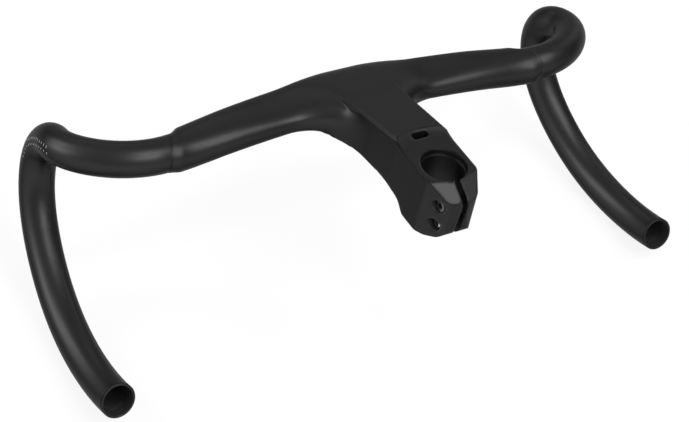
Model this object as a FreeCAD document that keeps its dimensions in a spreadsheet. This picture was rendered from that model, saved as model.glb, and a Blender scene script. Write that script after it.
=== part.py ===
import FreeCAD, Part
import math
import os

V = FreeCAD.Vector
doc = FreeCAD.newDocument("aero_handlebar")
sheet = doc.addObject("Spreadsheet::Sheet", "sizes")

# Driving dimensions in millimetres and degrees.
# X is the rider's right, Y is forward, Z runs up the steerer and the origin is the bore centre on the clamp top.
SIZES = {
    # whole bar
    "bar_width": 429.2, "hook_reach": 158.5,
    # clamp
    "steerer_bore_dia": 28.6, "rim_dia": 30.6, "rim_depth": 4.5, "clamp_half_width": 19.5, "clamp_draft": 0.028,
    "clamp_height": 42.6, "clamp_rear": 29.6, "facet_start": 9.2, "slot_width": 4.0,
    "rear_corner_round": 7.0, "rear_ridge_round": 8.0,
    "ramp_flat_radius": 24.0, "ramp_radius": 35.0, "ramp_rise": 2.6, "rear_slope_drop": 8.5,
    "port_length": 12.4, "port_width": 5.0, "port_y": 29.5,
    # stem
    "stem_top_z": 9.6, "stem_slope": 0.225, "stem_bottom_z": 33.6, "stem_chamfer": 1.6,
    "stem_bottom_round": 2.5, "web_radius": 33.0, "web_start_half_width": 21.9, "stem_front_half_width": 22.6,
    "hose_exit_length": 22.0, "hose_exit_width": 12.0,
    # tops and drops
    "centre_half_chord": 20.5, "centre_lift": 1.0, "centre_depth": 2.4, "top_half_chord": 17.4,
    "top_half_height": 8.3, "top_squareness": 3.0, "web_top_squareness": 2.6, "web_base_squareness": 4.6,
    "step_half_chord": 14.3, "step_half_height": 12.5, "step_slant": 0.3, "tube_dia": 23.8, "wall": 2.0,
    "end_bore_dia": 20.8, "end_bore_depth": 9.0, "hose_hole_dia": 3.6,
    # centre line of the right half, the tops measured from the middle
    "mid_y": 109.2, "mid_z": -25.4,
    "top_in_x": 54.3, "top_in_y": 107.9, "top_in_z": -28.3,
    "top_out_x": 102.0, "top_out_y": 103.2, "top_out_z": -29.6,
    "step_x": 137.1, "step_y": 99.6, "step_z": -31.7,
    "bend_in_x": 148.6, "bend_in_y": 97.5, "bend_in_z": -30.0,
    "bend_mid_x": 176.3, "bend_mid_y": 104.9, "bend_mid_z": -30.8,
    # hook and drop points, inward of the bar's half width and back from its reach
    "hood_in": 14.9, "hood_back": 18.0, "hood_z": -40.8,
    "hook_top_in": 15.5, "hook_top_back": 11.9, "hook_top_z": -43.4,
    "hook_front_in": 14.9, "hook_front_back": 0.1, "hook_front_z": -59.1,
    "hook_low_in": 12.6, "hook_low_back": 0.0, "hook_low_z": -78.3,
    "drop_in_in": 4.3, "drop_in_back": 48.2, "drop_in_z": -127.7,
    "drop_mid_in": 0.2, "drop_mid_back": 104.2, "drop_mid_z": -140.1,
    "drop_end_in": 0.0, "drop_end_back": 160.7, "drop_end_z": -130.2,
    # pinch fasteners
    "bolt_y": -19.8, "bolt_upper_z": -14.0, "bolt_lower_z": -29.1, "bolt_dia": 4.9, "bolt_hole_dia": 5.4,
    "head_dia": 8.0, "head_height": 4.0, "head_face_x": 12.2, "socket_across": 4.0, "socket_depth": 2.4,
    "bolt_length": 15.0, "washer_dia": 8.6, "washer_thickness": 1.0, "pocket_dia": 9.4,
    "insert_dia": 7.0, "insert_pocket_dia": 8.8, "insert_floor_x": 6.4, "insert_inner_x": 2.8,
    "insert_thread_dia": 5.0, "insert_dome": 1.6,
}
for row, (name, value) in enumerate(SIZES.items(), start=1):
    sheet.set("A%d" % row, name)
    sheet.set("B%d" % row, str(value))
    sheet.setAlias("B%d" % row, name)
doc.recompute()


def size(name):
    return float(getattr(sheet, name))


# Centre line
TOPS = ["top_in", "top_out", "step", "bend_in", "bend_mid"]
HOOK = ["hood", "hook_top", "hook_front", "hook_low", "drop_in", "drop_mid", "drop_end"]
right_points = [V(size(s + "_x"), size(s + "_y"), size(s + "_z")) for s in TOPS]
right_points += [V(size("bar_width") / 2 - size(s + "_in"), size("hook_reach") - size(s + "_back"), size(s + "_z"))
                 for s in HOOK]
middle = V(0, size("mid_y"), size("mid_z"))


def mirrored(p):
    return V(-p.x, p.y, p.z)


line_points = [mirrored(p) for p in reversed(right_points)] + [middle] + right_points
line = Part.BSplineCurve()
line.interpolate(Points=line_points)
middle_u = line.parameter(middle)
step_u = line.parameter(right_points[2])
end_u = line.parameter(right_points[-1])


def direction(u):
    return V(*line.tangent(u)[0]).normalize()


def ring(u, chord, radius, further=0.0):
    # Points of a round section square to the centre line.
    along = direction(u)
    centre = line.value(u) + along * further
    chord = (chord - along * chord.dot(along)).normalize()
    rise = along.cross(chord)
    points = []
    for k in range(21):
        t = 2 * math.pi * (k % 20) / 20 - math.pi / 2
        points.append(centre + chord * (radius * math.cos(t)) + rise * (radius * math.sin(t)))
    return points


def skin(rings):
    # A smooth skin through the rings, closed by flat ends.
    surface = Part.BSplineSurface()
    surface.interpolate(rings)
    first_u, last_u = surface.bounds()[:2]
    ends = [Part.Face(Part.Wire([surface.uIso(u).toShape()])) for u in (first_u, last_u)]
    shape = Part.Compound([surface.toShape()] + ends)
    shape.sewShape()
    solid = Part.Solid(shape.Shells[0])
    if solid.Volume < 0:
        solid.reverse()
    return solid


def stem_top(y):
    return size("stem_top_z") - size("stem_slope") * y


def bar_u(x):
    # Place on the centre line at a distance from the middle plane.
    low_u, high_u = middle_u, line.parameter(right_points[4])
    for _ in range(40):
        u = 0.5 * (low_u + high_u)
        if line.value(u).x < x:
            low_u = u
        else:
            high_u = u
    return low_u


def rise_between(x, first, last):
    f = min(1.0, max(0.0, (x - first) / (last - first)))
    return f * f * (3 - 2 * f)


def mix(a, b, f):
    return a + (b - a) * f


def wing_half_chord(x):
    to_step = min(1.0, max(0.0, (x - size("top_in_x")) / (size("step_x") - size("top_in_x"))))
    return mix(size("top_half_chord"), size("step_half_chord"), to_step)


# The web is an arc from the stem wall to the back of the tops, drawn in plan.
web_r = size("web_radius")
web_x = size("web_start_half_width") + web_r
web_meet = web_x + 0.0975 * web_r
web_y = line.value(bar_u(web_meet)).y - wing_half_chord(web_meet) - 0.9952 * web_r


def web_rear(x):
    # Back edge of the web, which runs on inside the stem as a smooth curve.
    knee = web_x - web_r * math.cos(math.radians(27.0))
    if x >= web_meet:
        return line.value(bar_u(x)).y - wing_half_chord(x)
    if x >= knee:
        return web_y + math.sqrt(web_r ** 2 - (web_x - x) ** 2)
    slope = 1.0 / math.tan(math.radians(27.0))
    back = knee - x
    return web_y + web_r * math.sin(math.radians(27.0)) - slope * back + slope * back ** 2 / (2 * knee)


def quarter(length, power, top, base, upper, front):
    # One quarter of a wing section between its tip and its thickest place, in eight even steps.
    fine = []
    for k in range(81):
        phi = 0.5 * math.pi * k / 80.0
        p = length * math.cos(phi) ** (2.0 / power) * (1 if front else -1)
        w = math.sin(phi) ** (2.0 / power) * (1 if upper else -1)
        fine.append((p, 0.5 * (top(p) + base(p)) + 0.5 * (top(p) - base(p)) * w))
    lengths = [0.0]
    for a, b in zip(fine[:-1], fine[1:]):
        lengths.append(lengths[-1] + math.hypot(b[0] - a[0], b[1] - a[1]))
    points = []
    for k in range(9):
        goal = lengths[-1] * k / 8.0
        i = max(1, next(j for j, v in enumerate(lengths) if v >= goal - 1e-9))
        f = (goal - lengths[i - 1]) / (lengths[i] - lengths[i - 1])
        points.append((mix(fine[i - 1][0], fine[i][0], f), mix(fine[i - 1][1], fine[i][1], f)))
    return points


def wing_ring(x, inset, with_web):
    # A flat topped wing section that joins the stem top in the middle and is nearly round at the step.
    u = bar_u(x)
    centre = line.value(u)
    turn = rise_between(x, 60.0, 110.0)
    along = (V(1, 0, 0) * (1 - turn) + direction(u) * turn).normalize()
    chord = (V(0, 1, 0) - along * along.y).normalize()
    rise = along.cross(chord)
    to_step = min(1.0, max(0.0, (x - size("top_in_x")) / (size("step_x") - size("top_in_x"))))
    outer_share = rise_between(x, 14.0, 56.0)
    half_height = mix(size("top_half_height"), size("step_half_height"), to_step)
    high = mix(stem_top(size("mid_y")) + size("centre_lift") - centre.z, half_height, outer_share) - inset
    deep_by = mix(size("stem_bottom_z") + size("centre_depth") + centre.z, half_height, outer_share) - inset
    fall = 0.205 * (1 - rise_between(x, 18.0, 60.0))
    square = mix(size("top_squareness"), 2.1, to_step)
    front_chord = mix(size("centre_half_chord"), wing_half_chord(x), rise_between(x, 10.0, 58.0)) - inset
    rear_chord, rear_top, rear_base = wing_half_chord(x) - inset, square, square
    if with_web:
        rear_chord = centre.y - web_rear(x)
        along_web = rise_between(x, 28.0, 62.0)
        rear_top = mix(size("web_top_squareness"), square, along_web)
        rear_base = mix(size("web_base_squareness"), square, along_web)

    def top(p):
        return high - fall * p

    def base(p):
        return -deep_by - 0.3 * fall * p

    front_low = quarter(front_chord, square, top, base, False, True)[::-1]
    front_high = quarter(front_chord, square, top, base, True, True)
    rear_high = quarter(rear_chord, rear_top, top, base, True, False)[::-1]
    rear_low = quarter(rear_chord, rear_base, top, base, False, False)
    flat = front_low[:-1] + front_high[:-1] + rear_high[:-1] + rear_low[:-1] + front_low[:1]
    return [centre + chord * p + rise * q for p, q in flat]


def wing(inset, with_web, last_x):
    # Sections closely spaced over the web and wider along the tops, mirrored about the middle.
    count = 9
    near = [web_meet * k / 13.0 for k in range(1, 14)]
    far = [mix(web_meet, last_x, k / count) for k in range(1, count + 1)]
    rings = [wing_ring(x, inset, with_web) for x in near + far]
    left = [[mirrored(p) for p in points] for points in reversed(rings)]
    return skin(left + [wing_ring(0.0, inset, with_web)] + rings)


def tube_rings(radius, further=0.0, count=44):
    # The round section starts inside the tops and is carried round the bends without twist.
    chord, rings = V(0, 1, 0), []
    spacing = (end_u - step_u) / (count - 2)
    for k in range(count):
        u = step_u + spacing * (k - 1)
        along = direction(u)
        chord = (chord - along * chord.dot(along)).normalize()
        rings.append(ring(u, chord, radius))
    if further:
        rings.append(ring(end_u, chord, radius, further))
    return rings


def flipped(shape):
    return shape.mirror(V(0, 0, 0), V(1, 0, 0))


# Stem and clamp
def polygon(points):
    return Part.Wire(Part.makePolygon(points + [points[0]]).Edges)


def spline_edge(points, start=None, end=None):
    curve = Part.BSplineCurve()
    if start is None:
        curve.interpolate(Points=points)
    else:
        curve.interpolate(Points=points, InitialTangent=start, FinalTangent=end)
    return curve.toShape()


def clamp_wall(z):
    # The clamp walls lean in a little towards the top.
    return size("clamp_half_width") - size("clamp_draft") * (z + size("clamp_height") / 2)


def stem_half_width(y, start):
    # The side walls run straight over the clamp and open a little towards the bar.
    f = min(1.0, max(0.0, (y - 26.0) / (size("mid_y") - 30.0)))
    return mix(start, size("stem_front_half_width"), f)


def flare(y):
    # How far the foot of the stem wall has swung out along the web's arc.
    return web_r - math.sqrt(web_r ** 2 - max(0.0, y - web_y) ** 2)


nose_y = size("mid_y") + 2.0
deep = size("clamp_height")
low = size("stem_bottom_z")
rear = size("clamp_rear")
reach = 60.0


def side_profile(x):
    belly = [V(x, 4, -deep), V(x, 9, -deep + 2.2), V(x, 13.5, -deep + 5.8), V(x, 22, -low - 1.4), V(x, 38, -low)]
    top = [V(x, 38, -low), V(x, nose_y, -low - 1.0), V(x, nose_y, stem_top(nose_y)), V(x, 14, stem_top(14)),
           V(x, -15.6, stem_top(14)), V(x, -15.6, 0), V(x, -rear, -size("rear_slope_drop")),
           V(x, -rear + 2.8, -deep + 8.5), V(x, -rear + 6.0, -deep + 4.7), V(x, -12, -deep), V(x, 4, -deep)]
    edges = [spline_edge(belly, V(0, 1, 0), V(0, 1, 0))]
    edges += [Part.makeLine(p, q) for p, q in zip(top[:-1], top[1:])]
    return Part.Wire(edges)


def plan_profile(z):
    w = clamp_wall(z)
    # The wall is straight at the top edge and leans out with the web further down.
    lean = (-5.0 - z) / 29.0
    web_end = web_y + 18.0
    wall_y = [mix(26.0, web_end, k / 8.0) for k in range(9)]
    walls = [V(stem_half_width(y, w) + flare(y) * lean, y, z) for y in wall_y]
    front = V(size("stem_front_half_width") + 2.0 * lean, nose_y, z)
    walls += [walls[-1] + (front - walls[-1]) * f for f in (1 / 3.0, 2 / 3.0, 1.0)]
    back = [V(w, 26, z), V(w, -size("facet_start"), z), V(11.0, -rear + 3.8, z), V(0, -rear, z),
            V(-11.0, -rear + 3.8, z), V(-w, -size("facet_start"), z), V(-w, 26, z)]
    half = [spline_edge(walls)]
    other = [e.mirror(V(0, 0, 0), V(1, 0, 0)) for e in half]
    edges = half + other + [Part.makeLine(front, mirrored(front))]
    edges += [Part.makeLine(p, q) for p, q in zip(back[:-1], back[1:])]
    return Part.Wire(Part.__sortEdges__(edges))


def rounded(shape, radius, wanted):
    return shape.makeFillet(radius, [e for e in shape.Edges if wanted(e)])


def middle_of(edge):
    return edge.valueAt(0.5 * (edge.FirstParameter + edge.LastParameter))


def rear_corner(edge):
    p = middle_of(edge)
    return abs(p.z) < 1 and p.y < -size("facet_start") + 1 and abs(p.x) > 5


def rear_ridge(edge):
    p = middle_of(edge)
    return abs(p.x) < 1 and p.y < -rear + 6.5


side = rounded(Part.Face(side_profile(-reach)).extrude(V(2 * reach, 0, 0)), size("rear_ridge_round"), rear_ridge)
plan = Part.makeLoft([plan_profile(-reach), plan_profile(reach)], True, True)
plan = rounded(plan, size("rear_corner_round"), rear_corner)
stem = side.common(plan).Solids[0]


def on_top(edge):
    return len(edge.Vertexes) == 2 and edge.Length > 10 and all(
        abs(v.Z - stem_top(v.Y)) < 0.01 and abs(v.X) > 10 for v in edge.Vertexes)


def underneath(edge):
    ends = edge.Vertexes
    return len(ends) == 2 and edge.Length > 2 and abs(ends[0].Z - ends[1].Z) < 12 and all(
        v.Z < -low + 2 and abs(v.X) > 15 for v in ends)


stem = rounded(stem, size("stem_bottom_round"), underneath)
stem = stem.makeChamfer(size("stem_chamfer"), [e for e in stem.Edges if on_top(e)])


wall = size("wall")


def beyond_step():
    # Everything outboard of the slanted step, where the tape begins.
    slant = math.atan(size("step_slant"))
    box = Part.makeBox(60, 120, 80, V(0, -60, -40))
    box.rotate(V(0, 0, 0), V(0, 0, 1), math.degrees(slant))
    box.translate(V(size("step_x") - 0.6, size("step_y") + size("step_half_chord"), size("step_z")))
    return box


tops = wing(0.0, True, size("step_x") + 10.0).cut([beyond_step(), flipped(beyond_step())])
drop = skin(tube_rings(size("tube_dia") / 2))
outer = tops.fuse([drop, flipped(drop), stem])

# Hollow inside
def cavity_rect(y, margin):
    w = stem_half_width(y, size("clamp_half_width")) - margin
    top, base = stem_top(y) - margin, -low + margin
    return polygon([V(-w, y, base), V(w, y, base), V(w, y, top), V(-w, y, top)])


cavity = Part.makeLoft([cavity_rect(y, 4.0) for y in (40, 68, 96)], True, False)


def hose_hole(fraction):
    # Round hose holes on the inner front side of each bend, where the lever bracket covers them.
    first_u, last_u = line.parameter(right_points[4]), line.parameter(right_points[5])
    u = first_u + (last_u - first_u) * fraction
    along, out = direction(u), V(-0.72, 0.65, 0.24)
    out = (out - along * out.dot(along)).normalize()
    return Part.makeCylinder(size("hose_hole_dia") / 2, size("tube_dia") * 0.7, line.value(u), out)


hose_holes = [hose_hole(f) for f in (0.36, 0.50)]
hose_holes += [flipped(h) for h in hose_holes]
tops_hollow = wing(wall, False, size("step_x") - 2 * wall)
drop_hollow = skin(tube_rings(size("tube_dia") / 2 - wall, 3.0))
last = right_points[-1]
outward = direction(end_u)
mouth = Part.makeCylinder(size("end_bore_dia") / 2, size("end_bore_depth") + 2, last + outward * 2, -outward)
shell = outer.cut([tops_hollow, drop_hollow, flipped(drop_hollow), mouth, flipped(mouth), cavity] + hose_holes)

# Steerer bore, rim, ramp and slot
bore = Part.makeCylinder(size("steerer_bore_dia") / 2, 100, V(0, 0, -80))
rim = Part.makeCylinder(size("rim_dia") / 2, 50, V(0, 0, -size("rim_depth")))
flat_r, ramp_r, rise = size("ramp_flat_radius"), size("ramp_radius"), size("ramp_rise")
ramp_edges = [Part.makeLine(V(0, 0, 0), V(flat_r, 0, 0)),
              Part.Arc(V(flat_r, 0, 0), V(0.5 * (flat_r + ramp_r), 0, 0.25 * rise), V(ramp_r, 0, rise)).toShape(),
              Part.makeLine(V(ramp_r, 0, rise), V(ramp_r + 2, 0, 30)),
              Part.makeLine(V(ramp_r + 2, 0, 30), V(0, 0, 30)), Part.makeLine(V(0, 0, 30), V(0, 0, 0))]
ramp = Part.Face(Part.Wire(ramp_edges)).revolve(V(0, 0, 0), V(0, 0, 1), 360)
slot = Part.makeBox(size("slot_width"), 60, 120, V(-size("slot_width") / 2, -60, -80))


def pill(length, width, centre, depth):
    half = (length - width) / 2
    r = width / 2
    body = Part.makeBox(2 * half, width, depth, centre + V(-half, -r, 0))
    ends = [Part.makeCylinder(r, depth, centre + V(sx * half, 0, 0)) for sx in (-1, 1)]
    return body.fuse(ends).removeSplitter()


port = pill(size("port_length"), size("port_width"), V(0, size("port_y"), -14), 40)
port_duct = Part.makeBox(size("port_length"), 44 - size("port_y"), 9, V(-size("port_length") / 2, size("port_y"), -14))
exit_hole = pill(size("hose_exit_length"), size("hose_exit_width"), V(0, 50, -60), 45)


# Pinch bolt pockets
def along_x(dia, x0, x1, y, z):
    return Part.makeCylinder(dia / 2, x1 - x0, V(x0, y, z), V(1, 0, 0))


by, zu, zl = size("bolt_y"), size("bolt_upper_z"), size("bolt_lower_z")
floor = size("head_face_x") - size("head_height") - size("washer_thickness")
insert_floor = size("insert_floor_x")
pockets = [
    along_x(size("pocket_dia"), -40, -floor, by, zu), along_x(size("bolt_hole_dia"), -40, 3, by, zu),
    along_x(size("insert_pocket_dia"), insert_floor, 40, by, zu), along_x(size("insert_dia"), 0, 40, by, zu),
    along_x(size("pocket_dia"), floor, 40, by, zl), along_x(size("bolt_hole_dia"), -3, 40, by, zl),
    along_x(size("insert_pocket_dia"), -40, -insert_floor, by, zl), along_x(size("insert_dia"), -40, 0, by, zl),
]



def rear_facet(side_x):
    # The slope behind the bore falls away to each side of the slot.
    normal = V(side_x * 0.12, -0.5, 0.855)
    box = Part.makeBox(80, 80, 40, V(-40, -40, 0))
    box.Placement = FreeCAD.Placement(V(0, -15.7, 0), FreeCAD.Rotation(V(0, 0, 1), normal))
    keep = Part.makeBox(60, 85, 60, V(0 if side_x > 0 else -60, -75, -30))
    return box.common(keep)


facets = [rear_facet(side_x) for side_x in (-1, 1)]
body_shape = shell.cut([ramp, bore, rim, slot, port, port_duct, exit_hole] + facets + pockets)
if len(body_shape.Solids) == 1:
    body_shape = body_shape.Solids[0]
body = doc.addObject("Part::Feature", "handlebar_body")
body.Label = "handlebar_body"
body.Shape = body_shape
body.Placement = FreeCAD.Placement()


# Fasteners, each drawn along Z and turned to lie across the slot
def cylinder(name, radius, height, base="0"):
    item = doc.addObject("Part::Cylinder", name)
    item.setExpression("Radius", radius)
    item.setExpression("Height", height)
    item.setExpression("Placement.Base.z", base)
    return item


def pinch_bolt(name):
    shank = cylinder(name + "_shank", "sizes.bolt_dia / 2", "sizes.bolt_length + sizes.head_height / 2")
    head = cylinder(name + "_head", "sizes.head_dia / 2", "sizes.head_height", "-sizes.head_height")
    shank.setExpression("Placement.Base.z", "-sizes.head_height / 2")
    joined = doc.addObject("Part::Fuse", name + "_joined")
    joined.Base, joined.Tool = head, shank
    hexagon = doc.addObject("Part::Prism", name + "_socket")
    hexagon.Polygon = 6
    hexagon.setExpression("Circumradius", "sizes.socket_across / sqrt(3)")
    hexagon.setExpression("Height", "sizes.socket_depth")
    hexagon.setExpression("Placement.Base.z", "-sizes.head_height")
    bolt = doc.addObject("Part::Cut", name)
    bolt.Base, bolt.Tool = joined, hexagon
    return bolt


def washer(name):
    disc = cylinder(name + "_disc", "sizes.washer_dia / 2", "sizes.washer_thickness")
    hole = cylinder(name + "_hole", "sizes.bolt_hole_dia / 2", "sizes.washer_thickness")
    ring = doc.addObject("Part::Cut", name)
    ring.Base, ring.Tool = disc, hole
    return ring


def insert(name):
    barrel = cylinder(name + "_barrel", "sizes.insert_dia / 2",
                      "sizes.head_face_x - sizes.insert_inner_x - sizes.insert_dome")
    dome = doc.addObject("Part::Cone", name + "_dome")
    dome.setExpression("Radius1", "sizes.insert_dia / 2")
    dome.setExpression("Radius2", "sizes.insert_dia / 2 - sizes.insert_dome")
    dome.setExpression("Height", "sizes.insert_dome")
    dome.setExpression("Placement.Base.z", "sizes.head_face_x - sizes.insert_inner_x - sizes.insert_dome")
    joined = doc.addObject("Part::Fuse", name + "_joined")
    joined.Base, joined.Tool = barrel, dome
    thread = cylinder(name + "_thread", "sizes.insert_thread_dia / 2", "sizes.head_face_x")
    piece = doc.addObject("Part::Cut", name)
    piece.Base, piece.Tool = joined, thread
    return piece


def lay(item, sign, x_text, z_alias):
    # The local axis points to the rider's right for sign 1 and to the left for sign -1.
    item.Placement = FreeCAD.Placement(V(0, 0, 0), FreeCAD.Rotation(V(0, 1, 0), 90 * sign))
    item.setExpression("Placement.Base.x", x_text)
    item.setExpression("Placement.Base.y", "sizes.bolt_y")
    item.setExpression("Placement.Base.z", "sizes." + z_alias)


under_head = "(sizes.head_face_x - sizes.head_height)"
nodes = [body]
for level, sign in (("upper", 1), ("lower", -1)):
    alias = "bolt_%s_z" % level
    bolt = pinch_bolt("pinch_bolt_" + level)
    lay(bolt, sign, "%d * %s" % (-sign, under_head), alias)
    ring = washer("washer_" + level)
    lay(ring, sign, "%d * %s" % (-sign, under_head), alias)
    nut = insert("insert_" + level)
    lay(nut, sign, "%d * sizes.insert_inner_x" % sign, alias)
    nodes += [bolt, ring, nut]
for node in nodes:
    node.Label = node.Name

doc.recompute()
os.makedirs("parts", exist_ok=True)
for node in nodes:
    if "Invalid" in node.State or "Error" in node.State or node.Shape.isNull() or not node.Shape.isValid():
        raise RuntimeError("bad shape: " + node.Label)
for node in nodes:
    node.Shape.exportStep("parts/%s.step" % node.Label)
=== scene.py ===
import bmesh
import bpy
import math
import numpy as np
from mathutils import Matrix, Vector
from mathutils.bvhtree import BVHTree


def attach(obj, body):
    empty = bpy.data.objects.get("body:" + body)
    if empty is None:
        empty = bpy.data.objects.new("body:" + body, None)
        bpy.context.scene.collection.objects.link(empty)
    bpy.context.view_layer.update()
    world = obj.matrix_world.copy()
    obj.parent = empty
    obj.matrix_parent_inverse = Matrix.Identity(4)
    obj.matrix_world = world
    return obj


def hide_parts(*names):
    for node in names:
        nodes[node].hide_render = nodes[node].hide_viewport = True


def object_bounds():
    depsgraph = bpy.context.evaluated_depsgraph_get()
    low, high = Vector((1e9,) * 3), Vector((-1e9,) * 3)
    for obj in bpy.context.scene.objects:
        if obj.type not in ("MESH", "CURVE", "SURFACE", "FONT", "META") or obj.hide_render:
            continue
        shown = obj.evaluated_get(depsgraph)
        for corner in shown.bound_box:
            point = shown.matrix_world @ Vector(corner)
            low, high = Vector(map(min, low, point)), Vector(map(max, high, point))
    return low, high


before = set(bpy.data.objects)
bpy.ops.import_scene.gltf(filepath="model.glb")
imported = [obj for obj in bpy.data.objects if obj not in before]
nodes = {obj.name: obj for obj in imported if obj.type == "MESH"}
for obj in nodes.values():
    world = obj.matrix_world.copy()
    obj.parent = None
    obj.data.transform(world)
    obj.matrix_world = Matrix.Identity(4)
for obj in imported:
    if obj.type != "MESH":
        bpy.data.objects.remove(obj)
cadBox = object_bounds()
mm = 0.001  # sizes below are in millimetres, except those of the floor and the lamps, in metres
tiny = 1e-12  # keeps a division by a length from failing
print("stage: frame loaded,", len(nodes), "pieces")


def linkNew(name, data):
    piece = bpy.data.objects.new(name, data)
    bpy.context.scene.collection.objects.link(piece)
    return piece


# inputs of the shared finish group, and the look values that fill them
finishInputs = {"Tone Shift": "toneShift", "Roughness": "roughness", "Roughness Shift": "roughnessShift",
                "Cloud Scale": "cloudScale", "Grain Scale": "grainScale"}
noiseDetail = {"cloud": 3.0, "grain": 2.0}


# shader group shared by every finish: a fine grain and a slow cloud over the surface
def buildFinishGroup():
    group = bpy.data.node_groups.new("surfaceFinish", "ShaderNodeTree")
    face = group.interface
    face.new_socket("Color", in_out="INPUT", socket_type="NodeSocketColor")
    for name in finishInputs:
        face.new_socket(name, in_out="INPUT", socket_type="NodeSocketFloat")
    face.new_socket("Color", in_out="OUTPUT", socket_type="NodeSocketColor")
    face.new_socket("Roughness", in_out="OUTPUT", socket_type="NodeSocketFloat")
    face.new_socket("Grain", in_out="OUTPUT", socket_type="NodeSocketFloat")
    add, link = group.nodes.new, group.links.new
    given, made = add("NodeGroupInput"), add("NodeGroupOutput")
    coords = add("ShaderNodeTexCoord")

    def makeNoise(scaleInput, detail):
        noise = add("ShaderNodeTexNoise")
        noise.inputs["Detail"].default_value = detail
        link(coords.outputs["Object"], noise.inputs["Vector"])
        link(given.outputs[scaleInput], noise.inputs["Scale"])
        return noise.outputs["Fac"]

    # a noise, moved to lie about zero
    def centred(noise):
        moved = add("ShaderNodeMath")
        moved.operation = "SUBTRACT"
        moved.inputs[1].default_value = 0.5
        link(noise, moved.inputs[0])
        return moved.outputs[0]

    cloud = makeNoise("Cloud Scale", noiseDetail["cloud"])
    grain = makeNoise("Grain Scale", noiseDetail["grain"])
    # tone = colour * (1 + shift * (cloud - 0.5))
    gain = add("ShaderNodeMath")
    gain.operation = "MULTIPLY_ADD"
    gain.inputs[2].default_value = 1.0
    link(centred(cloud), gain.inputs[0])
    link(given.outputs["Tone Shift"], gain.inputs[1])
    tint = add("ShaderNodeVectorMath")
    tint.operation = "SCALE"
    link(given.outputs["Color"], tint.inputs[0])
    link(gain.outputs[0], tint.inputs["Scale"])
    link(tint.outputs[0], made.inputs["Color"])
    # roughness = mean + shift * (grain - 0.5)
    rough = add("ShaderNodeMath")
    rough.operation = "MULTIPLY_ADD"
    link(centred(grain), rough.inputs[0])
    link(given.outputs["Roughness Shift"], rough.inputs[1])
    link(given.outputs["Roughness"], rough.inputs[2])
    link(rough.outputs[0], made.inputs["Roughness"])
    link(grain, made.inputs["Grain"])
    return group


finishGroup = buildFinishGroup()


# a satin lacquer loses its sheen where it is seen at a slant
def addLacquer(tree, shader, look):
    shader.inputs["Coat Roughness"].default_value = look["coatRoughness"]
    slant, sheen = tree.nodes.new("ShaderNodeLayerWeight"), tree.nodes.new("ShaderNodeMapRange")
    slant.inputs["Blend"].default_value = 0.5
    fullAt, goneAt = look["coatSlant"]
    ends = {"From Min": fullAt, "From Max": goneAt, "To Min": look["coat"], "To Max": 0.0}
    for socket, value in ends.items():
        sheen.inputs[socket].default_value = value
    tree.links.new(slant.outputs["Facing"], sheen.inputs["Value"])
    tree.links.new(sheen.outputs["Result"], shader.inputs["Coat Weight"])


# fine relief from the grain, over edges that look rounded where the look asks for it
def addRelief(tree, shader, look, grain):
    bump = tree.nodes.new("ShaderNodeBump")
    bump.inputs["Strength"].default_value = look["bump"]
    bump.inputs["Distance"].default_value = look["bumpDepth"] * mm
    tree.links.new(grain, bump.inputs["Height"])
    if "edgeRound" in look:
        edges = tree.nodes.new("ShaderNodeBevel")
        edges.samples = look["edgeSamples"]
        edges.inputs["Radius"].default_value = look["edgeRound"] * mm
        tree.links.new(edges.outputs["Normal"], bump.inputs["Normal"])
    tree.links.new(bump.outputs["Normal"], shader.inputs["Normal"])
    tree.links.new(bump.outputs["Normal"], shader.inputs["Coat Normal"])


def makeFinish(name, look):
    material = bpy.data.materials.new(name)
    material.use_nodes = True
    tree = material.node_tree
    shader = tree.nodes["Principled BSDF"]
    shader.inputs["Metallic"].default_value = look["metallic"]
    shader.inputs["Specular IOR Level"].default_value = look["specular"]
    finish = tree.nodes.new("ShaderNodeGroup")
    finish.node_tree = finishGroup
    finish.inputs["Color"].default_value = (*look["color"], 1.0)
    for socket, key in finishInputs.items():
        finish.inputs[socket].default_value = look[key]
    tree.links.new(finish.outputs["Color"], shader.inputs["Base Color"])
    tree.links.new(finish.outputs["Roughness"], shader.inputs["Roughness"])
    if "coat" in look:
        addLacquer(tree, shader, look)
    if "bump" in look:
        addRelief(tree, shader, look, finish.outputs["Grain"])
    return material


# moulded carbon body
carbonLook = {"color": (0.0062, 0.0062, 0.0064), "metallic": 0.0, "specular": 0.05, "roughness": 0.42,
              "coat": 0.80, "coatRoughness": 0.42, "coatSlant": (0.10, 0.45),
              "toneShift": 0.25, "roughnessShift": 0.05, "cloudScale": 34.0, "grainScale": 2600.0,
              "bump": 0.05, "bumpDepth": 0.05, "edgeRound": 2.4, "edgeSamples": 6}
satinCarbon = makeFinish("satinCarbon", carbonLook)
# bare laminate inside the tube ends and the bolt pockets, painted lighter than the body: part real bare
# carbon, part painted light standing in for light that reaches into these hollows
bareLaminatePaintedLightLook = {"color": (0.030, 0.030, 0.031), "metallic": 0.0, "specular": 0.3, "roughness": 0.5,
           "toneShift": 0.4, "roughnessShift": 0.08, "cloudScale": 60.0, "grainScale": 1800.0,
           "bump": 0.08, "bumpDepth": 0.06}
bareCarbonPaintedLight = makeFinish("bareCarbonPaintedLight", bareLaminatePaintedLightLook)

# pinch fasteners
boltLook = {"color": (0.11, 0.11, 0.112), "metallic": 0.85, "specular": 0.5, "roughness": 0.34,
            "toneShift": 0.3, "roughnessShift": 0.10, "cloudScale": 420.0, "grainScale": 5200.0,
            "bump": 0.08, "bumpDepth": 0.03}
washerLook = dict(boltLook, color=(0.15, 0.15, 0.152), roughness=0.42)
insertLook = {"color": (0.56, 0.56, 0.55), "metallic": 1.0, "specular": 0.5, "roughness": 0.30,
              "toneShift": 0.15, "roughnessShift": 0.12, "cloudScale": 380.0, "grainScale": 4800.0,
              "bump": 0.05, "bumpDepth": 0.02}
blackOxide = makeFinish("blackOxide", boltLook)
darkWasher = makeFinish("darkWasher", washerLook)
brightSteel = makeFinish("brightSteel", insertLook)

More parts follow.
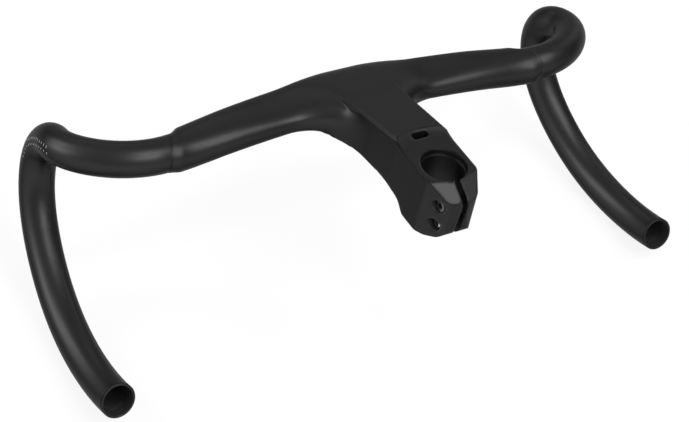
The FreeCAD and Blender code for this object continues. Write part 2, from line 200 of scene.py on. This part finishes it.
nodeFinish = {"handlebar_body": (satinCarbon, "carbon"),
              "pinch_bolt_upper": (blackOxide, "bolt_black"), "pinch_bolt_lower": (blackOxide, "bolt_black"),
              "washer_upper": (darkWasher, "washer_steel"), "washer_lower": (darkWasher, "washer_steel"),
              "insert_upper": (brightSteel, "insert_steel"), "insert_lower": (brightSteel, "insert_steel")}
for nodeName, (finish, slotName) in nodeFinish.items():
    nodes[nodeName].data.materials.clear()
    nodes[nodeName].data.materials.append(finish)
print("stage: finishes on the carbon body and the pinch fasteners")


# the web runs into the stem wall without a crease: eased on a copy of the body, in x only
webEase = {"seamX": 21.3, "seamY": 65.0, "near": 7.0, "far": 25.0, "outside": 18.4,
           "spanY": (36.0, 92.0), "spanZ": (-36.5, 2.0), "cell": 0.5, "startX": 60.0,
           "topAtBore": 9.6, "topSlope": 0.225, "keptBelowTop": 2.0, "freeBelowTop": 8.0,
           "rounds": 900, "pace": 0.8, "blurs": 8, "pastRim": 8,
           "slack": (2.0, 5.0), "alike": (0.5, 0.8), "fullFreedom": 0.15}
# the copy's mesh: doubles merged, and long edges split near the webs and the ends of the tops
skinMesh = {"merge": 0.001, "edge": 1.3, "splits": 40, "around": 2.0}


def smoothStep(low, high, values):
    share = np.clip((values - low) / (high - low), 0.0, 1.0)
    return share * share * (3.0 - 2.0 * share)


def unit(vectors):
    return vectors / np.maximum(np.linalg.norm(vectors, axis=1), tiny)[:, None]


# mean of the four neighbours that are known, and whether there is any
def aroundMean(field, known):
    total, count = np.zeros_like(field), np.zeros_like(field)
    padded, mask = np.pad(np.where(known, field, 0.0), 1), np.pad(known.astype(float), 1)
    for shiftY, shiftZ in ((0, 1), (2, 1), (1, 0), (1, 2)):
        window = (slice(shiftY, shiftY + field.shape[0]), slice(shiftZ, shiftZ + field.shape[1]))
        total += padded[window]
        count += mask[window]
    return total / np.maximum(count, 1.0), count > 0


# half width of wall and web over y and z, in millimetres, and 0 where there is none
def foundWidth(body, ys, zs):
    rays = BVHTree.FromObject(body, bpy.context.evaluated_depsgraph_get())
    found = np.zeros((len(ys), len(zs)))
    for row, y in enumerate(ys):
        for column, z in enumerate(zs):
            place = rays.ray_cast(Vector((-webEase["startX"], y, z)) * mm, Vector((1.0, 0.0, 0.0)))[0]
            if place is not None and -place.x > webEase["outside"] * mm:
                found[row, column] = -place.x / mm
    return found


# the half width before and after easing, how free each place is, and the slopes after it
def webField(body):
    ys, zs = (np.arange(*webEase[span], webEase["cell"]) for span in ("spanY", "spanZ"))
    found = foundWidth(body, ys, zs)
    known = found > 0
    below = webEase["topAtBore"] - webEase["topSlope"] * ys[:, None] - zs[None, :]
    away = np.hypot(found - webEase["seamX"], ys[:, None] - webEase["seamY"])
    freedom = known * (1.0 - smoothStep(webEase["near"], webEase["far"], away)) * \
        smoothStep(webEase["keptBelowTop"], webEase["freeBelowTop"], below)
    eased = found.copy()
    for turn in range(webEase["rounds"]):
        eased += webEase["pace"] * freedom * (aroundMean(eased, known)[0] - eased)
    shift = eased - found
    for turn in range(webEase["blurs"]):
        shift = 0.5 * (shift + aroundMean(shift, known)[0])
    # carried on past the rim, so that vertices on the rim read a whole value
    fields = {"found": found, "eased": eased, "freedom": freedom, "shift": shift}
    for turn in range(webEase["pastRim"]):
        grown = {name: aroundMean(field, known)[0] for name, field in fields.items()}
        reached = aroundMean(found, known)[1] & ~known
        fields = {name: np.where(reached, grown[name], field) for name, field in fields.items()}
        known = known | reached
    slopeY, slopeZ = np.gradient(fields["eased"], webEase["cell"])
    return dict(fields, slopeY=slopeY, slopeZ=slopeZ)


# a field's values at points in metres, between its cells
def readField(field, points):
    lastCell = np.array(field.shape) - 1.001
    corner = (webEase["spanY"][0], webEase["spanZ"][0])
    cells = np.clip((points[:, 1:] / mm - corner) / webEase["cell"], 0, lastCell)
    row, column = cells.astype(int).T
    shareY, shareZ = cells[:, 0] - row, cells[:, 1] - column
    low = field[row, column] * (1 - shareY) + field[row + 1, column] * shareY
    high = field[row, column + 1] * (1 - shareY) + field[row + 1, column + 1] * shareY
    return low * (1 - shareZ) + high * shareZ


# the tops end in a short taper down to the round tube
stepEase = {"planeX": 0.9578, "planeY": 0.2873, "planeAt": 163.47, "planeSlack": 0.05,
            "axisAt": (146.0, 97.87, -30.39), "axisTo": (0.981, -0.134, 0.140),
            "tubeRadius": 11.9, "lip": 0.25, "length": 8.0, "startX": 120.0, "before": 1.0}


# how far a place lies inside the plane where the tops end
def insideStep(x, y):
    return stepEase["planeAt"] - x * stepEase["planeX"] - y * stepEase["planeY"]


def taperStep(points):
    axis = np.array(stepEase["axisTo"]) / np.linalg.norm(stepEase["axisTo"])
    outward = np.abs(points[:, 0])
    offset = np.column_stack([outward, points[:, 1], points[:, 2]]) - stepEase["axisAt"]
    radial = offset - (offset @ axis)[:, None] * axis
    far = np.maximum(np.linalg.norm(radial, axis=1), tiny)
    rim = stepEase["tubeRadius"] + stepEase["lip"]
    into = insideStep(outward, points[:, 1])
    held = (into > -stepEase["planeSlack"]) & (far > rim) & (outward > stepEase["startX"])
    pull = held * (1.0 - smoothStep(0.0, stepEase["length"], into))
    moved = radial * (-(far - rim) * pull / far)[:, None]
    moved[:, 0] *= np.sign(points[:, 0])
    return points + moved


# normals follow a bend of space by the cofactors of its slope
def bendNormals(bend, points, normals):
    nudge = 0.01
    slopes = [(bend(points + way) - bend(points - way)) / (2 * nudge) for way in nudge * np.eye(3)]
    turned = sum(normals[:, k, None] * np.cross(slopes[k - 2], slopes[k - 1]) for k in range(3))
    return unit(turned)


def nearStep(place):
    into = insideStep(abs(place.x) / mm, place.y / mm)
    return abs(place.x) > stepEase["startX"] * mm and \
        -stepEase["before"] < into < stepEase["length"] + skinMesh["around"]


def nearWeb(place):
    away = math.hypot(abs(place.x) / mm - webEase["seamX"], place.y / mm - webEase["seamY"])
    return abs(place.x) > webEase["outside"] * mm and away < webEase["far"] + skinMesh["around"]


# long edges are halved, the longest first and one to a triangle, so that no sliver is left
def splitLongEdges(shape):
    for turn in range(skinMesh["splits"]):
        lengths = {edge: edge.calc_length() for edge in shape.edges}
        longOnes = [edge for edge, length in lengths.items() if length > skinMesh["edge"] * mm and
                    all(nearWeb(vertex.co) or nearStep(vertex.co) for vertex in edge.verts)]
        chosen, cut = [], set()
        for edge in sorted(longOnes, key=lambda edge: (-lengths[edge], edge.index)):
            if cut.isdisjoint(edge.link_faces):
                cut.update(edge.link_faces)
                chosen.append(edge)
        bmesh.ops.subdivide_edges(shape, edges=chosen, cuts=1, use_single_edge=True)
        shape.edges.index_update()


def readVectors(items, key):
    values = np.empty(len(items) * 3)
    items.foreach_get(key, values)
    return values.reshape(-1, 3)


def easeBody(body):
    fields = webField(body)
    mesh = body.data.copy()
    # the exact corner normals of the frame's mesh ride along through the splitting
    exact = readVectors(mesh.corner_normals, "vector")
    mesh.attributes.new("exactNormal", "FLOAT_VECTOR", "CORNER").data.foreach_set("vector", exact.ravel())
    shape = bmesh.new()
    shape.from_mesh(mesh)
    bmesh.ops.remove_doubles(shape, verts=shape.verts, dist=skinMesh["merge"] * mm)
    splitLongEdges(shape)
    shape.to_mesh(mesh)
    shape.free()
    points = readVectors(mesh.vertices, "co")
    firstY, lastY = webEase["spanY"]
    inSpan = (points[:, 1] > firstY * mm) & (points[:, 1] < lastY * mm)
    gap = np.abs(np.abs(points[:, 0]) / mm - readField(fields["found"], points))
    onSkin = inSpan * (1.0 - smoothStep(*webEase["slack"], gap))
    shift = readField(fields["shift"], points) * onSkin * mm
    freedom = readField(fields["freedom"], points) * onSkin
    points[:, 0] += np.sign(points[:, 0]) * shift
    untapered = points / mm
    points = taperStep(untapered) * mm
    mesh.vertices.foreach_set("co", points.ravel())
    mesh.update()
    setNormals(mesh, points, untapered, fields, freedom)
    return mesh


def setNormals(mesh, points, untapered, fields, freedom):
    exact = readVectors(mesh.attributes["exactNormal"].data, "vector")
    corner = np.empty(len(mesh.loops), dtype=np.int64)
    mesh.loops.foreach_get("vertex_index", corner)
    leastMove = 1e-6 * mm
    tapered = np.abs(points - untapered * mm).max(axis=1)[corner] > leastMove
    exact[tapered] = bendNormals(taperStep, untapered[corner[tapered]], exact[tapered])
    slopeY, slopeZ = (readField(fields[name], points) for name in ("slopeY", "slopeZ"))
    eased = unit(np.stack([np.sign(points[:, 0]), -slopeY, -slopeZ], 1))[corner]
    # only corners that face as the wall does: the rims to top and bottom stay crisp
    alike = smoothStep(*webEase["alike"], (exact * eased).sum(axis=1))
    share = (smoothStep(0.0, webEase["fullFreedom"], freedom)[corner] * alike)[:, None]
    normals = unit(exact * (1.0 - share) + eased * share)
    mesh.attributes.remove(mesh.attributes["exactNormal"])
    mesh.normals_split_custom_set(normals)


# faces inside a bolt pocket, and faces of the tubes that look at a wall close by, take the bare finish, whose
# lighter colour is partly painted light in these hollows
insides = {"tubesFromX": 150.0, "tubeReach": 22.5, "rayLift": 0.05, "pocketFromX": 11.0, "pocketReach": 5.1,
           "boltY": -19.8, "boltZ": (-14.0, -29.1)}


def inPocket(place):
    return any(math.hypot(place.y - insides["boltY"] * mm, place.z - z * mm) < insides["pocketReach"] * mm
               for z in insides["boltZ"])


def bareInsidesPaintedLight(mesh):
    corners = [vertex.co for vertex in mesh.vertices]
    rays = BVHTree.FromPolygons(corners, [face.vertices for face in mesh.polygons])
    for face in mesh.polygons:
        place = face.center
        if abs(place.x) > insides["tubesFromX"] * mm:
            start = place + face.normal * insides["rayLift"] * mm
            wall = rays.ray_cast(start, face.normal, insides["tubeReach"] * mm)[0]
            face.material_index = int(wall is not None)
        elif abs(place.x) > insides["pocketFromX"] * mm:
            face.material_index = int(inPocket(place))


barSkin = linkNew("handlebarSkin", easeBody(nodes["handlebar_body"]))
# second slot: the bare finish, lighter as painted light in the hollows
barSkin.data.materials.append(bareCarbonPaintedLight)
bareInsidesPaintedLight(barSkin.data)
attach(barSkin, "root")
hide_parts("handlebar_body")
print("stage: webs eased and ends of the tops tapered,", len(barSkin.data.polygons), "faces")


# lever position scale printed on the outer side of each hook, as points of the left one
scaleLook = {"color": (0.26, 0.26, 0.26), "metallic": 0.0, "specular": 0.3, "roughness": 0.55,
             "toneShift": 0.5, "roughnessShift": 0.05, "cloudScale": 900.0, "grainScale": 4000.0}
scalePrint = makeFinish("scalePrint", scaleLook)
tickRows = {
    "lower": {"path": [(-211.5, 160.0, -67.0), (-211.5, 159.4, -58.3), (-211.0, 156.8, -51.6),
                       (-211.0, 150.2, -45.6), (-211.2, 142.1, -40.3), (-211.2, 134.9, -37.7),
                       (-210.5, 130.6, -37.1)],
              "count": 15, "length": 1.3, "width": 0.55, "lift": 0.03},
    "upper": {"path": [(-209.6, 162.6, -53.5), (-209.8, 156.2, -45.8), (-210.2, 148.7, -39.5),
                       (-210.5, 140.8, -35.8), (-209.8, 132.9, -33.7)],
              "count": 13, "length": 1.7, "width": 0.55, "lift": 0.03},
}
tickInputs = {"Count": "NodeSocketInt", "Length": "NodeSocketFloat", "Width": "NodeSocketFloat",
              "Lift": "NodeSocketFloat", "Surface": "NodeSocketObject", "Material": "NodeSocketMaterial"}


def buildTickTree():
    tree = bpy.data.node_groups.new("tickScale", "GeometryNodeTree")
    face = tree.interface
    face.new_socket("Geometry", in_out="INPUT", socket_type="NodeSocketGeometry")
    for name, kind in tickInputs.items():
        face.new_socket(name, in_out="INPUT", socket_type=kind)
    face.new_socket("Geometry", in_out="OUTPUT", socket_type="NodeSocketGeometry")
    add, link = tree.nodes.new, tree.links.new
    given, made = add("NodeGroupInput"), add("NodeGroupOutput")
    # even points along the row
    toCurve = add("GeometryNodeMeshToCurve")
    link(given.outputs["Geometry"], toCurve.inputs["Mesh"])
    smooth = add("GeometryNodeCurveSplineType")
    smooth.spline_type = "CATMULL_ROM"
    link(toCurve.outputs["Curve"], smooth.inputs["Curve"])
    even = add("GeometryNodeCurveToPoints")
    even.mode = "COUNT"
    link(smooth.outputs["Curve"], even.inputs["Curve"])
    link(given.outputs["Count"], even.inputs["Count"])
    # each point drops onto the moulded surface and takes its normal
    surface = add("GeometryNodeObjectInfo")
    link(given.outputs["Surface"], surface.inputs["Object"])
    nearest = add("GeometryNodeProximity")
    nearest.target_element = "FACES"
    link(surface.outputs["Geometry"], nearest.inputs[0])
    normalHere = add("GeometryNodeSampleNearestSurface")
    normalHere.data_type = "FLOAT_VECTOR"
    faceNormal = add("GeometryNodeInputNormal")
    link(surface.outputs["Geometry"], normalHere.inputs["Mesh"])
    link(faceNormal.outputs["Normal"], normalHere.inputs["Value"])
    raised = add("ShaderNodeVectorMath")
    raised.operation = "MULTIPLY_ADD"
    lift = add("ShaderNodeCombineXYZ")
    for axis in ("X", "Y", "Z"):
        link(given.outputs["Lift"], lift.inputs[axis])
    link(normalHere.outputs["Value"], raised.inputs[0])
    link(lift.outputs["Vector"], raised.inputs[1])
    link(nearest.outputs["Position"], raised.inputs[2])
    # turn: local Z along the surface normal, local X along the row
    aimUp = add("FunctionNodeAlignRotationToVector")
    aimUp.axis = "Z"
    link(normalHere.outputs["Value"], aimUp.inputs["Vector"])
    aimAlong = add("FunctionNodeAlignRotationToVector")
    aimAlong.axis = "X"
    aimAlong.pivot_axis = "Z"
    link(aimUp.outputs["Rotation"], aimAlong.inputs["Rotation"])
    link(even.outputs["Tangent"], aimAlong.inputs["Vector"])
    placed = add("GeometryNodeSetPosition")
    link(even.outputs["Points"], placed.inputs["Geometry"])
    link(raised.outputs["Vector"], placed.inputs["Position"])
    # one thin mark
    sizeOf = add("ShaderNodeCombineXYZ")
    link(given.outputs["Width"], sizeOf.inputs["X"])
    link(given.outputs["Length"], sizeOf.inputs["Y"])
    link(given.outputs["Lift"], sizeOf.inputs["Z"])
    mark = add("GeometryNodeMeshCube")
    link(sizeOf.outputs["Vector"], mark.inputs["Size"])
    copies = add("GeometryNodeInstanceOnPoints")
    link(placed.outputs["Geometry"], copies.inputs["Points"])
    link(mark.outputs["Mesh"], copies.inputs["Instance"])
    link(aimAlong.outputs["Rotation"], copies.inputs["Rotation"])
    real = add("GeometryNodeRealizeInstances")
    link(copies.outputs["Instances"], real.inputs["Geometry"])
    coat = add("GeometryNodeSetMaterial")
    link(real.outputs["Geometry"], coat.inputs["Geometry"])
    link(given.outputs["Material"], coat.inputs["Material"])
    link(coat.outputs["Geometry"], made.inputs["Geometry"])
    return tree


tickTree = buildTickTree()


def runTree(piece, tree, values):
    modifier = piece.modifiers.new("build", "NODES")
    modifier.node_group = tree
    for item in tree.interface.items_tree:
        if item.in_out == "INPUT" and item.name in values:
            modifier[item.identifier] = values[item.name]
    piece.update_tag()
    graph = bpy.context.evaluated_depsgraph_get()
    plain = bpy.data.meshes.new_from_object(piece.evaluated_get(graph))
    piece.modifiers.remove(modifier)
    piece.data = plain


# side is -1 for the left hook and 1 for the right one
def makeTickRow(name, row, side):
    points = [Vector((-side * x * mm, y * mm, z * mm)) for x, y, z in row["path"]]
    guide = bpy.data.meshes.new(name)
    guide.from_pydata(points, [(k, k + 1) for k in range(len(points) - 1)], [])
    piece = linkNew(name, guide)
    runTree(piece, tickTree, {"Count": row["count"], "Length": row["length"] * mm, "Width": row["width"] * mm,
                              "Lift": row["lift"] * mm, "Surface": nodes["handlebar_body"],
                              "Material": scalePrint})
    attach(piece, "root")


for rowName, row in tickRows.items():
    makeTickRow("leverScaleLeft_" + rowName, row, -1)
    makeTickRow("leverScaleRight_" + rowName, row, 1)
print("stage: lever position scales")


# floor, light and camera
studio = {"floorTone": 0.93, "floorGlow": 0.86, "floorRoughness": 0.9, "floorSize": 14.0,
          "worldStrength": 0.32,
          "softboxes": {
              "rearStrip": {"aim": (0.05, -0.68, 0.71), "far": 1.7, "wide": 1.1, "deep": 0.30, "power": 12.5},
              "overhead": {"aim": (0.05, -0.33, 0.94), "far": 1.7, "wide": 0.5, "deep": 0.30, "power": 6.0},
              "highRight": {"aim": (0.45, -0.33, 0.83), "far": 1.7, "wide": 0.5, "deep": 0.40, "power": 5.0},
              "leftSide": {"aim": (-0.86, 0.40, 0.26), "far": 1.6, "wide": 0.8, "deep": 0.50, "power": 10.0},
              "edgeLight": {"aim": (-0.62, 0.60, 0.50), "far": 1.7, "wide": 0.35, "deep": 0.25, "power": 6.0},
              "front": {"aim": (0.25, 0.82, 0.45), "far": 1.9, "wide": 1.6, "deep": 0.60, "power": 6.5},
              "rightSide": {"aim": (0.84, 0.38, 0.38), "far": 1.9, "wide": 0.8, "deep": 0.50, "power": 4.6}}}
lowest = cadBox[0].z
middle = (cadBox[0] + cadBox[1]) / 2


def makeFloor():
    half = studio["floorSize"] / 2
    corners = [(-half, -half, lowest), (half, -half, lowest), (half, half, lowest), (-half, half, lowest)]
    sheet = bpy.data.meshes.new("paleFloor")
    sheet.from_pydata(corners, [], [(0, 1, 2, 3)])
    floor = linkNew("paleFloor", sheet)
    paper = bpy.data.materials.new("palePaper")
    paper.use_nodes = True
    tree = paper.node_tree
    shader = tree.nodes["Principled BSDF"]
    tone = studio["floorTone"]
    shader.inputs["Base Color"].default_value = (tone, tone, tone, 1.0)
    shader.inputs["Roughness"].default_value = studio["floorRoughness"]
    # the camera, and rays that were mirrored or passed through, see a pale glow
    glow, seen, mix = (tree.nodes.new(kind) for kind in
                       ("ShaderNodeEmission", "ShaderNodeLightPath", "ShaderNodeMixShader"))
    amount = tree.nodes.new("ShaderNodeMath")
    amount.operation = "MULTIPLY"
    amount.inputs[1].default_value = studio["floorGlow"]
    mirrored, either = tree.nodes.new("ShaderNodeMath"), tree.nodes.new("ShaderNodeMath")
    mirrored.operation = either.operation = "MAXIMUM"
    tree.links.new(seen.outputs["Is Glossy Ray"], mirrored.inputs[0])
    tree.links.new(seen.outputs["Is Transmission Ray"], mirrored.inputs[1])
    tree.links.new(seen.outputs["Is Camera Ray"], either.inputs[0])
    tree.links.new(mirrored.outputs[0], either.inputs[1])
    tree.links.new(either.outputs[0], amount.inputs[0])
    tree.links.new(amount.outputs[0], mix.inputs[0])
    tree.links.new(shader.outputs[0], mix.inputs[1])
    tree.links.new(glow.outputs[0], mix.inputs[2])
    # seen from below the floor is clear, so that the underside shows
    side, clear, whole = (tree.nodes.new(kind) for kind in
                          ("ShaderNodeNewGeometry", "ShaderNodeBsdfTransparent", "ShaderNodeMixShader"))
    tree.links.new(side.outputs["Backfacing"], whole.inputs[0])
    tree.links.new(mix.outputs[0], whole.inputs[1])
    tree.links.new(clear.outputs[0], whole.inputs[2])
    tree.links.new(whole.outputs[0], tree.nodes["Material Output"].inputs["Surface"])
    floor.data.materials.append(paper)


def makeSoftbox(name, box):
    light = bpy.data.lights.new(name, "AREA")
    light.shape = "RECTANGLE"
    light.size, light.size_y, light.energy = box["wide"], box["deep"], box["power"]
    lamp = linkNew(name, light)
    aim = Vector(box["aim"]).normalized()
    lamp.location = middle + aim * box["far"]
    lamp.rotation_mode = "QUATERNION"
    lamp.rotation_quaternion = aim.to_track_quat("Z", "Y")


def makeWorld():
    world = bpy.data.worlds.new("studioWorld")
    world.use_nodes = True
    background = world.node_tree.nodes["Background"]
    background.inputs["Color"].default_value = (1.0, 1.0, 1.0, 1.0)
    background.inputs["Strength"].default_value = studio["worldStrength"]
    bpy.context.scene.world = world


makeFloor()
for boxName, box in studio["softboxes"].items():
    makeSoftbox(boxName, box)
makeWorld()

# angles in degrees, the eye in millimetres, and the near and far clip in metres
view = {"azimuth": -38.566, "elevation": 41.771, "roll": 12.536, "focalPixels": 1956.357, "imageWidth": 689,
        "sensorWidth": 36.0, "eye": (-631.763, -704.325, 787.629), "clip": (0.01, 50.0)}


def makeCamera():
    a, e, r = (math.radians(view[k]) for k in ("azimuth", "elevation", "roll"))
    back = Vector((math.sin(a) * math.cos(e), -math.cos(a) * math.cos(e), math.sin(e)))
    side = Vector((math.cos(a), math.sin(a), 0.0))
    up = back.cross(side)
    across = math.cos(r) * side + math.sin(r) * up
    upward = math.cos(r) * up - math.sin(r) * side
    lens = bpy.data.cameras.new("photoCamera")
    lens.sensor_width = view["sensorWidth"]
    lens.lens = view["focalPixels"] / view["imageWidth"] * view["sensorWidth"]
    lens.clip_start, lens.clip_end = view["clip"]
    camera = linkNew("photoCamera", lens)
    turn = Matrix((across, upward, back)).transposed()
    camera.matrix_world = Matrix.Translation(Vector(view["eye"]) * mm) @ turn.to_4x4()
    bpy.context.scene.camera = camera


makeCamera()
bpy.context.scene.view_settings.view_transform = "Standard"
print("stage: floor, lights and camera")
